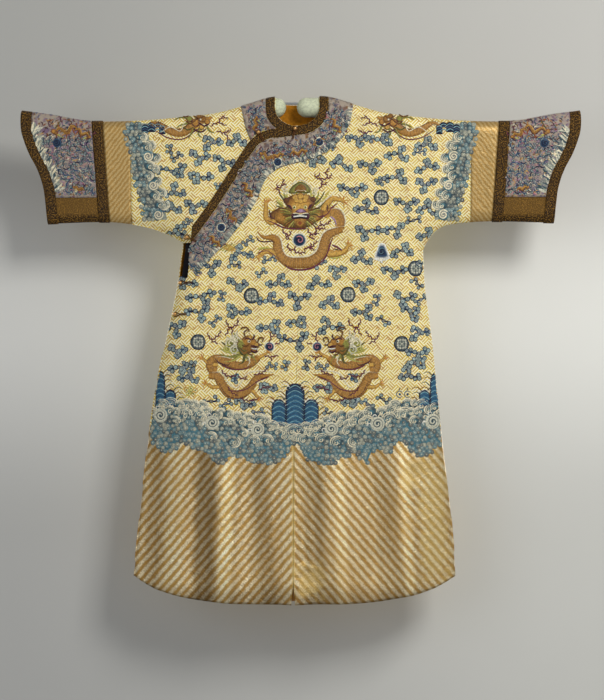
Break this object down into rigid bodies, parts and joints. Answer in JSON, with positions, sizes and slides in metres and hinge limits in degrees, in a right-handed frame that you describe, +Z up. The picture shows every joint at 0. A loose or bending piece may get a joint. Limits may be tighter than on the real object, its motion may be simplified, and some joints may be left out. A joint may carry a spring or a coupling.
{
  "type": "embroidered robe",
  "caption": "Silk court robe with horse-hoof cuffs, a side-closing lapel and ball buttons, hung flat with its sleeves out on a padded two-armed hanger.",
  "frame": {"origin": "middle of the steel bar between the hanger's two padded arms, where a wall hook takes it", "axes": "+Z up, +X to the wearer's left along the sleeves, -Y out of the robe's front"},
  "size_m": [1.5624, 0.1283, 1.4194],
  "materials": {
    "yellow_silk": "pastel yellow embroidered silk with gold couching",
    "dark_silk": "plain blue-black silk",
    "lining_silk": "plain orange silk",
    "gold_ribbon": "dark brown and gold figured ribbon",
    "band_silk": "densely patterned mauve, cream and blue silk",
    "striped_silk": "striped gold and silver brocade",
    "cuff_brocade": "dark gold brocade",
    "gilt_brass": "gilded, polished",
    "silk_cord": "wrapped silk cord",
    "padded_cloth": "pale green cotton cloth over padding",
    "steel": "brushed"
  },
  "bodies": {
    "root": {"front_left": "yellow_silk", "front_overlap": "yellow_silk", "right_front": "yellow_silk", "under_flap": "dark_silk", "back_left": "yellow_silk", "back_right": "yellow_silk", "lining_back_neck": "lining_silk", "collar_ribbon_left": "gold_ribbon", "collar_band_left": "band_silk", "lapel_ribbon": "gold_ribbon", "lapel_band": "band_silk", "collar_ribbon_right": "gold_ribbon", "collar_band_right": "band_silk", "collar_ribbon_back_left": "gold_ribbon", "collar_band_back_left": "band_silk", "collar_ribbon_back_right": "gold_ribbon", "collar_band_back_right": "band_silk", "sleeve_left": "striped_silk", "cuff_left": "cuff_brocade", "cuff_left_seam_ribbon": "gold_ribbon", "cuff_left_edge_ribbon": "gold_ribbon", "cuff_left_panel": "band_silk", "sleeve_right": "striped_silk", "cuff_right": "cuff_brocade", "cuff_right_seam_ribbon": "gold_ribbon", "cuff_right_edge_ribbon": "gold_ribbon", "cuff_right_panel": "band_silk", "button_neck": "gilt_brass", "loop_neck": "silk_cord", "button_lapel": "gilt_brass", "loop_lapel": "silk_cord", "button_underarm": "gilt_brass", "loop_underarm": "silk_cord", "button_upper_side": "gilt_brass", "loop_upper_side": "silk_cord", "button_lower_side": "gilt_brass", "loop_lower_side": "silk_cord", "hanger_arm_left": "padded_cloth", "hanger_arm_right": "padded_cloth", "hanger_bar": "steel"}
  },
  "joints": []
}
